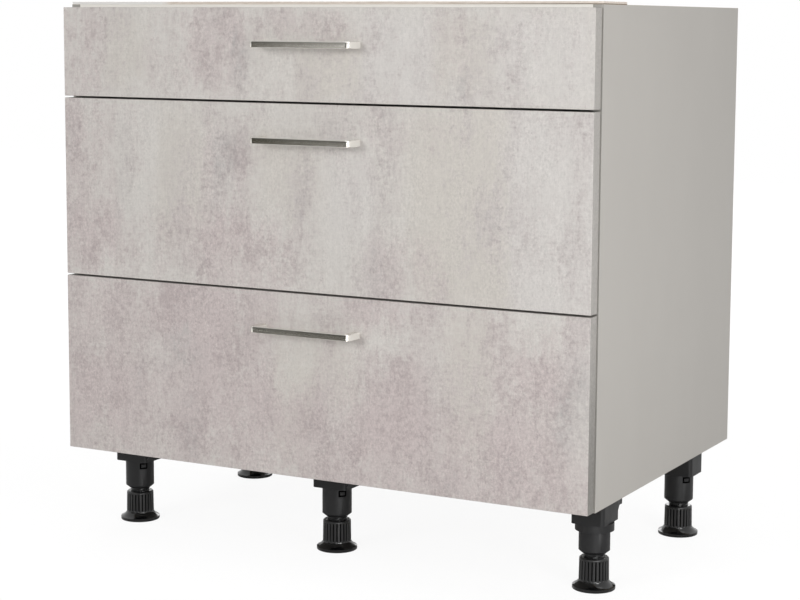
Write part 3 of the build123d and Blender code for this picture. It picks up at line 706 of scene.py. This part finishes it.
foot = {  # sizes in metres, heights above the floor
    "baseRadius": 0.0317,
    "rimHeight": 0.005,
    "rimRound": 0.0012,
    "rimChamfer": 0.0006,
    "flareHeight": 0.013,
    "flareRadius": 0.019,
    "bodyRadius": 0.0222,
    "shoulderRadius": 0.0217,
    "shoulderHeight": 0.0455,
    "shoulderIn": 0.3,  # middle of the rounded shoulder, in shares of its size
    "shoulderUp": 0.45,
    "topHeight": 0.0475,
    "stemRadius": 0.0156,
    "stemGap": 0.0003,
    "stemTop": 0.099,
    "threadRow": 0.0004,
    "rimSteps": 6,
    "flareSteps": 10,
    "bodyRows": 36,
    "stepsRound": 192,
}
footSizes = {
    "Flute Count": 24.0,
    "Flute Depth": 0.001,
    "Flute Low": 0.0142,
    "Flute High": 0.0443,
    "Thread Pitch": 0.003,
    "Thread Depth": 0.0008,
    "Thread Low": 0.048,
    "Thread High": 0.097,
}
fluteRunOut = 0.0012      # metres over which a flute runs out at each end
flutePower = 0.8          # below 1, a flute is wider than the ridge beside it
threadFlank = 0.35, 0.75  # start and end of a flank, in half pitches from the valley's middle


def footProfile():  # radius and height, from the middle of the base to the top of the stem
    f = foot
    points = [(0.0, 0.0), (f["baseRadius"] - 2 * f["rimRound"], 0.0)]
    for step in range(f["rimSteps"] + 1):  # rounded lower edge of the rim
        angle = math.radians(90 * step / f["rimSteps"])
        points.append((
            f["baseRadius"] - f["rimRound"] * (1 - math.sin(angle)),
            f["rimRound"] * (1 - math.cos(angle)),
        ))
    points.append((f["baseRadius"], f["rimHeight"] - f["rimChamfer"]))
    start = Vector((f["baseRadius"], f["rimHeight"]))
    end = Vector((f["bodyRadius"], f["flareHeight"]))
    chord = end - start
    outward = Vector((chord.y, -chord.x)).normalized()
    reach = math.sqrt(f["flareRadius"] ** 2 - (chord.length / 2) ** 2)
    centre = (start + end) / 2 + outward * reach
    sweep = 2 * math.asin(chord.length / 2 / f["flareRadius"])
    first = start - centre
    for step in range(f["flareSteps"] + 1):  # hollow flare from the rim up to the body
        angle = -sweep * step / f["flareSteps"]
        turned = Vector((
            first.x * math.cos(angle) - first.y * math.sin(angle),
            first.x * math.sin(angle) + first.y * math.cos(angle),
        ))
        points.append(tuple(centre + turned))
    for row in range(1, f["bodyRows"] + 1):
        share = row / f["bodyRows"]
        radius = f["bodyRadius"] + (f["shoulderRadius"] - f["bodyRadius"]) * share
        points.append((radius, f["flareHeight"] + (f["shoulderHeight"] - f["flareHeight"]) * share))
    edge = f["topHeight"] - f["shoulderHeight"]  # rounded shoulder
    points += [
        (
            f["shoulderRadius"] - f["shoulderIn"] * edge,
            f["shoulderHeight"] + f["shoulderUp"] * edge,
        ),
        (f["shoulderRadius"] - edge, f["topHeight"]),
        (f["stemRadius"] + f["stemGap"], f["topHeight"]),
    ]
    height = f["topHeight"]
    while height < f["stemTop"]:
        points.append((f["stemRadius"], height))
        height += f["threadRow"]
    return points + [(f["stemRadius"], f["stemTop"]), (0.0, f["stemTop"])]


def footTree():
    sizes = {"Place": "Vector", "Steps Round": "Int", **{size: "Float" for size in footSizes}}
    tree, given = startShape("turnedFoot", {**sizes, "Finish": "Material"})

    def reckon(operation, first, second=0.0):
        return calculate(tree, operation, first, second)

    profile = given["Geometry"]
    counted = addNode(tree, "GeometryNodeAttributeDomainSize", {"Geometry": profile})
    rows = counted.outputs["Point Count"]
    grid = addNode(tree, "GeometryNodeMeshGrid", {
        "Size X": 1.0,
        "Size Y": 1.0,
        "Vertices X": given["Steps Round"],
        "Vertices Y": rows,
    }).outputs["Mesh"]
    position = addNode(tree, "GeometryNodeInputPosition").outputs[0]
    flat = partsOf(tree, position)
    angle = reckon("MULTIPLY", reckon("ADD", flat[0], 0.5), 2 * math.pi)
    row = reckon("MULTIPLY", reckon("ADD", flat[1], 0.5), reckon("SUBTRACT", rows, 1.0))
    found = {"Geometry": profile, "Value": position, "Index": reckon("ROUND", row)}
    sample = addNode(tree, "GeometryNodeSampleIndex", found, data_type="FLOAT_VECTOR").outputs[0]
    radius, _, height = partsOf(tree, sample)

    # flutes, open towards both ends of the body
    wave = reckon("COSINE", reckon("MULTIPLY", angle, given["Flute Count"]))
    groove = reckon("POWER", reckon("MAXIMUM", wave, 0.0), flutePower)
    low = reckon("ADD", given["Flute Low"], fluteRunOut)
    high = reckon("SUBTRACT", given["Flute High"], fluteRunOut)
    rise = mapValue(tree, height, given["Flute Low"], low, 0.0, 1.0, "SMOOTHSTEP")
    fall = mapValue(tree, height, high, given["Flute High"], 1.0, 0.0, "SMOOTHSTEP")
    cut = reckon("MULTIPLY", reckon("MULTIPLY", groove, given["Flute Depth"]), rise)
    radius = reckon("SUBTRACT", radius, reckon("MULTIPLY", cut, fall))

    # coarse helical thread of the stem
    climb = reckon("DIVIDE", height, given["Thread Pitch"])
    phase = reckon("FRACT", reckon("SUBTRACT", climb, reckon("DIVIDE", angle, 2 * math.pi)))
    away = reckon("MULTIPLY", reckon("ABSOLUTE", reckon("SUBTRACT", phase, 0.5)), 2.0)
    valley = mapValue(tree, away, *threadFlank, 1.0, 0.0, "SMOOTHSTEP")
    above = reckon("GREATER_THAN", height, given["Thread Low"])
    below = reckon("LESS_THAN", height, given["Thread High"])
    thread = reckon("MULTIPLY", reckon("MULTIPLY", above, below), given["Thread Depth"])
    radius = reckon("SUBTRACT", radius, reckon("MULTIPLY", valley, thread))

    x = reckon("MULTIPLY", radius, reckon("COSINE", angle))
    y = reckon("MULTIPLY", radius, reckon("SINE", angle))
    placed = vectorMath(tree, "ADD", combine(tree, X=x, Y=y, Z=height), given["Place"])
    inputs = {"Geometry": grid, "Position": placed}
    turned = addNode(tree, "GeometryNodeSetPosition", inputs).outputs[0]
    inputs = {"Geometry": turned, "Distance": weldDistance}
    closed = addNode(tree, "GeometryNodeMergeByDistance", inputs).outputs[0]
    inputs = {"Geometry": closed, "Shade Smooth": True}
    smooth = addNode(tree, "GeometryNodeSetShadeSmooth", inputs).outputs[0]
    endShape(tree, smooth, given["Finish"])
    return tree


def makeFeet():
    tree = footTree()
    outline = footProfile()
    for leg in legNames:
        name = f"leg_foot_{leg}"
        low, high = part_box(name)
        profile = bpy.data.meshes.new(name + "_profile")
        profile.from_pydata([(radius, 0, height) for radius, height in outline], [], [])
        piece = runShape(f"turned_foot_{leg}", tree, profile, {
            "Place": ((low.x + high.x) / 2, (low.y + high.y) / 2, low.z),
            "Steps Round": foot["stepsRound"] + 1,
            **footSizes,
            "Finish": ownFinish[name],
        })
        standIn(piece, name)


screws = {  # sizes in metres
    "wood_screws": {
        "Head Radius": 0.0036,
        "Foot Radius": 0.002,  # of the head, where the shank starts
        "Head Height": 0.0015,
        "Shank Radius": 0.002,
        "Recess Depth": 0.0011,
    },
    "handle_screws": {
        "Head Radius": 0.0034,
        "Foot Radius": 0.004,
        "Head Height": 0.0026,
        "Shank Radius": 0.002,
        "Recess Depth": 0.0015,
    },
}
screwShape = {
    "headSides": 28,
    "shankSides": 16,
    "recessLength": 1.15,  # in head radii
    "recessWidth": 0.26,
    "tip": 0.45,           # in shank radii
}


def screwTree():
    sizes = {size: "Float" for size in (*screws["wood_screws"], "Length")}
    tree, given = startShape("crossHeadScrew", {**sizes, "Finish": "Material"})

    def scaled(size, factor):
        return calculate(tree, "MULTIPLY", given[size], factor)

    def sunk(mesh, size):  # the mesh moved down by that size
        inputs = {"Geometry": mesh, "Translation": combine(tree, Z=scaled(size, -1.0))}
        return addNode(tree, "GeometryNodeTransform", inputs).outputs[0]

    head = addNode(tree, "GeometryNodeMeshCone", {
        "Vertices": screwShape["headSides"],
        "Radius Top": given["Head Radius"],
        "Radius Bottom": given["Foot Radius"],
        "Depth": given["Head Height"],
    }).outputs["Mesh"]
    inputs = {"Mesh 1": sunk(head, "Head Height")}
    drilled = addNode(tree, "GeometryNodeMeshBoolean", inputs, operation="DIFFERENCE")
    reach = scaled("Head Radius", screwShape["recessLength"])
    width = scaled("Head Radius", screwShape["recessWidth"])
    deep = scaled("Recess Depth", 2.0)
    for x, y in ((reach, width), (width, reach)):
        size = combine(tree, X=x, Y=y, Z=deep)
        blade = addNode(tree, "GeometryNodeMeshCube", {"Size": size}).outputs["Mesh"]
        tree.links.new(blade, drilled.inputs["Mesh 2"])
    shank = addNode(tree, "GeometryNodeMeshCone", {
        "Vertices": screwShape["shankSides"],
        "Radius Top": given["Shank Radius"],
        "Radius Bottom": scaled("Shank Radius", screwShape["tip"]),
        "Depth": calculate(tree, "SUBTRACT", given["Length"], given["Head Height"]),
    }).outputs["Mesh"]
    whole = addNode(tree, "GeometryNodeJoinGeometry")
    for part in (drilled.outputs["Mesh"], sunk(shank, "Length")):
        tree.links.new(part, whole.inputs[0])
    inputs = {"Name": "facing"}
    way = addNode(tree, "GeometryNodeInputNamedAttribute", inputs, data_type="FLOAT_VECTOR")
    turn = addNode(tree, "FunctionNodeAlignRotationToVector", {"Vector": way.outputs[0]}, axis="Z")
    placed = addNode(tree, "GeometryNodeInstanceOnPoints", {
        "Points": given["Geometry"],
        "Instance": whole.outputs[0],
        "Rotation": turn.outputs[0],
    }).outputs[0]
    endShape(tree, placed, given["Finish"])
    return tree


endReach = 1e-5  # metres between the corners of one end of a screw


def screwsOf(name):  # the head's middle, the way it faces and the length of each screw in a node
    work = bmesh.new()
    work.from_mesh(nodes[name].data)
    bmesh.ops.remove_doubles(work, verts=work.verts, dist=weldDistance)
    left = set(work.verts)
    found = []
    while left:
        island = {left.pop()}
        edge = list(island)
        while edge:
            near = {link.other_vert(v) for v in edge for link in v.link_edges} - island
            island |= near
            edge = list(near)
        left -= island
        low = Vector([min(v.co[i] for v in island) for i in range(3)])
        high = Vector([max(v.co[i] for v in island) for i in range(3)])
        axis = max(range(3), key=lambda i: high[i] - low[i])
        middle = (low + high) / 2
        spreads = {}  # the head is at the wider end
        for end in (low, high):
            ring = [v.co - middle for v in island if abs(v.co[axis] - end[axis]) < endReach]
            radii = [math.sqrt(sum(c[i] ** 2 for i in range(3) if i != axis)) for c in ring]
            spreads[end[axis]] = max(radii)
        top = max(spreads, key=spreads.get)
        way = Vector((0, 0, 0))
        way[axis] = 1 if top == high[axis] else -1
        middle[axis] = top
        found.append((tuple(middle), tuple(way), high[axis] - low[axis]))
    work.free()
    return sorted(found)


def makeScrews():
    tree = screwTree()
    handleScrews = {f"handle_screws_{drawer}": "handle_screws" for drawer in drawerNames}
    for name, kind in {"wood_screws": "wood_screws", **handleScrews}.items():
        places = screwsOf(name)
        points = bpy.data.meshes.new(name + "_points")
        points.from_pydata([middle for middle, way, length in places], [], [])
        ways = points.attributes.new("facing", "FLOAT_VECTOR", "POINT")
        ways.data.foreach_set("vector", [part for place in places for part in place[1]])
        piece = runShape(name + "_cross_head", tree, points, {
            **screws[kind],
            "Length": places[0][2],
            "Finish": finishes["zinc_steel"],
        })
        standIn(piece, name)
        print(f"{name}: {len(places)} screws")


makeFeet()
print("feet: done")
makeScrews()


# smooth copies of the frame's rounder pieces

smoothing = {
    "sharpAngle": math.radians(35),
    "flatAngle": math.radians(0.5),  # faces that meet flatter than this become one
    "segments": 2,
}
bevels = {f"handle_{drawer}": 0.0003 for drawer in drawerNames}  # width in metres
for leg in legNames:
    bevels.update({f"leg_socket_{leg}": 0.0004, f"leg_sleeve_{leg}": 0.0003})
for name in ("plinth_clip_front_right", "side_rods_middle", "side_rods_bottom"):
    bevels[name] = 0.0004
for name in ("cam_locks", "cam_bolts", "panel_dowels"):
    bevels[name] = 0.0002


def smoothCopy(name, width):
    mesh = nodes[name].data.copy()
    mesh.name = name + "_smooth"
    work = bmesh.new()
    work.from_mesh(mesh)
    bmesh.ops.remove_doubles(work, verts=work.verts, dist=weldDistance)
    limit = smoothing["flatAngle"]
    bmesh.ops.dissolve_limit(work, angle_limit=limit, verts=work.verts, edges=work.edges)
    for face in work.faces:
        face.smooth = True
    work.to_mesh(mesh)
    work.free()
    mesh.set_sharp_from_angle(angle=smoothing["sharpAngle"])
    piece = addObject(name + "_smooth", mesh)
    bevel = piece.modifiers.new("softEdges", "BEVEL")
    bevel.width = width
    bevel.segments = smoothing["segments"]
    bevel.limit_method = "ANGLE"
    bevel.angle_limit = smoothing["sharpAngle"]
    bevel.harden_normals = True
    standIn(piece, name)
    dress(piece, name)


for name, width in bevels.items():
    smoothCopy(name, width)
print("smooth copies: done")


# studio

studio = {
    "ambient": 0.34,
    "floorSize": 14.0,
    "floorColour": paint(232, 232, 232),
    "floorRoughness": 0.9,
    "shadowReach": (0.9, 2.2),  # metres from the middle of the floor; shadows fade between them
    "shadowShare": 0.14,        # how much of the floor's white gives way to shadow
    "mirroredShare": 0.9,       # the same in what the metal and plastic reflect
    "glow": 0.06,               # what the floor adds to the white behind it
}
lamps = {  # place, aim, width, height, watts
    "keyLamp": ((-1.2, -3.9, 1.5), (0.0, -0.1, 0.45), 1.6, 1.2, 56),
    "rightLamp": ((2.0, -1.3, 0.9), (0.45, -0.15, 0.4), 0.4, 1.5, 19.5),
    "topLamp": ((0.2, 0.3, 3.4), (0.0, 0.0, 0.0), 2.6, 2.6, 20),
    "rearLamp": ((-1.6, 3.4, 1.7), (0.0, 0.2, 0.45), 2.0, 2.0, 30),
}
cards = {  # left and right foot, height, colour, strength
    "dark_flag": ((-2.3, -1.7), (0.4, -1.7), 1.7, (0.03, 0.026, 0.012, 1.0), 1.0),
    "low_softbox": ((1.3, -2.1), (1.75, -1.75), 0.35, (1.0, 1.0, 1.0, 1.0), 18.0),
}
viewpoint = {  # the photograph's camera, in millimetres and degrees
    "place": (1455.4, -2679.8, 816.2),
    "turn": 28.471,
    "tilt": 6.775,
    "roll": 0.285,
    "lens": 86.41,
    "sensor": 36,
    "lift": -0.06,
}


def seenDirectly(tree):  # 1 for rays from the camera and for reflected or refracted ones
    path = addNode(tree, "ShaderNodeLightPath").outputs
    either = calculate(tree, "MAXIMUM", path["Is Camera Ray"], path["Is Glossy Ray"])
    return calculate(tree, "MAXIMUM", either, path["Is Transmission Ray"])


def makeWorld():
    world = bpy.data.worlds.new("studio_world")
    bpy.context.scene.world = world
    world.use_nodes = True
    tree = world.node_tree
    background = tree.nodes["Background"]
    background.inputs["Color"].default_value = (1, 1, 1, 1)
    strength = mapValue(tree, seenDirectly(tree), 0.0, 1.0, studio["ambient"], 1.0)
    tree.links.new(strength, background.inputs["Strength"])


def makeFloor():
    half = studio["floorSize"] / 2
    corners = [(-half, -half, 0), (half, -half, 0), (half, half, 0), (-half, half, 0)]
    mesh = bpy.data.meshes.new("floor")
    mesh.from_pydata(corners, [], [(0, 1, 2, 3)])
    floor = addObject("floor", mesh)
    material, tree, plain, place = startFinish("pale_floor")
    plain.inputs["Base Color"].default_value = studio["floorColour"]
    plain.inputs["Roughness"].default_value = studio["floorRoughness"]

    # clear apart from its shadow, so that a foot screwed out below it still shows
    distance = vectorMath(tree, "LENGTH", place, output="Value")
    mirrored = addNode(tree, "ShaderNodeLightPath").outputs["Is Glossy Ray"]
    shade = mapValue(tree, mirrored, 0.0, 1.0, studio["shadowShare"], studio["mirroredShare"])
    near = mapValue(tree, distance, *studio["shadowReach"], shade, 0.0, "SMOOTHSTEP")
    clear = addNode(tree, "ShaderNodeBsdfTransparent").outputs[0]
    glow = addNode(tree, "ShaderNodeEmission", {"Strength": studio["glow"]}).outputs[0]
    white = addNode(tree, "ShaderNodeAddShader", {0: clear, 1: glow}).outputs[0]
    matt = addNode(tree, "ShaderNodeBsdfDiffuse", {"Color": (1, 1, 1, 1)}).outputs[0]
    dimmed = addNode(tree, "ShaderNodeMixShader", {0: near, 1: white, 2: matt}).outputs[0]
    inputs = {0: seenDirectly(tree), 1: plain.outputs[0], 2: dimmed}
    final = addNode(tree, "ShaderNodeMixShader", inputs).outputs[0]
    tree.links.new(final, tree.nodes["Material Output"].inputs[0])
    mesh.materials.append(material)


def makeLamps():
    for name, (place, target, width, height, watts) in lamps.items():
        light = bpy.data.lights.new(name, "AREA")
        light.shape = "RECTANGLE"
        light.size = width
        light.size_y = height
        light.energy = watts
        lamp = addObject(name, light)
        lamp.location = place
        lamp.rotation_euler = (Vector(target) - Vector(place)).to_track_quat("-Z", "Y").to_euler()


def makeCards():  # only metal and plastic reflect them
    for name, (left, right, height, colour, strength) in cards.items():
        mesh = bpy.data.meshes.new(name)
        corners = [(*left, 0.0), (*right, 0.0), (*right, height), (*left, height)]
        mesh.from_pydata(corners, [], [(0, 1, 2, 3)])
        card = addObject(name, mesh)
        material, tree, _, _ = startFinish(name + "_cloth")
        inputs = {"Color": colour, "Strength": strength}
        glow = addNode(tree, "ShaderNodeEmission", inputs).outputs[0]
        tree.links.new(glow, tree.nodes["Material Output"].inputs[0])
        mesh.materials.append(material)
        for ray in ("camera", "diffuse", "shadow", "transmission"):
            setattr(card, "visible_" + ray, False)


def makeCamera():
    turn, tilt, roll = (math.radians(viewpoint[key]) for key in ("turn", "tilt", "roll"))
    level = math.cos(tilt)
    ahead = Vector((-math.sin(turn) * level, math.cos(turn) * level, -math.sin(tilt)))
    right = Vector((math.cos(turn), math.sin(turn), 0))
    up = right.cross(ahead)
    xAxis = right * math.cos(roll) + up * math.sin(roll)
    yAxis = up * math.cos(roll) - right * math.sin(roll)
    lens = bpy.data.cameras.new("photo_camera")
    lens.lens = viewpoint["lens"]
    lens.sensor_width = viewpoint["sensor"]
    lens.sensor_fit = "HORIZONTAL"
    lens.shift_y = viewpoint["lift"]
    camera = addObject("photo_camera", lens)
    turned = Matrix((xAxis, yAxis, -ahead)).transposed().to_4x4()
    place = Vector(viewpoint["place"]) / 1000  # in metres
    camera.matrix_world = Matrix.Translation(place) @ turned
    bpy.context.scene.camera = camera


makeWorld()
makeFloor()
makeLamps()
makeCards()
makeCamera()
bpy.context.scene.view_settings.view_transform = "Standard"
print("studio: done")
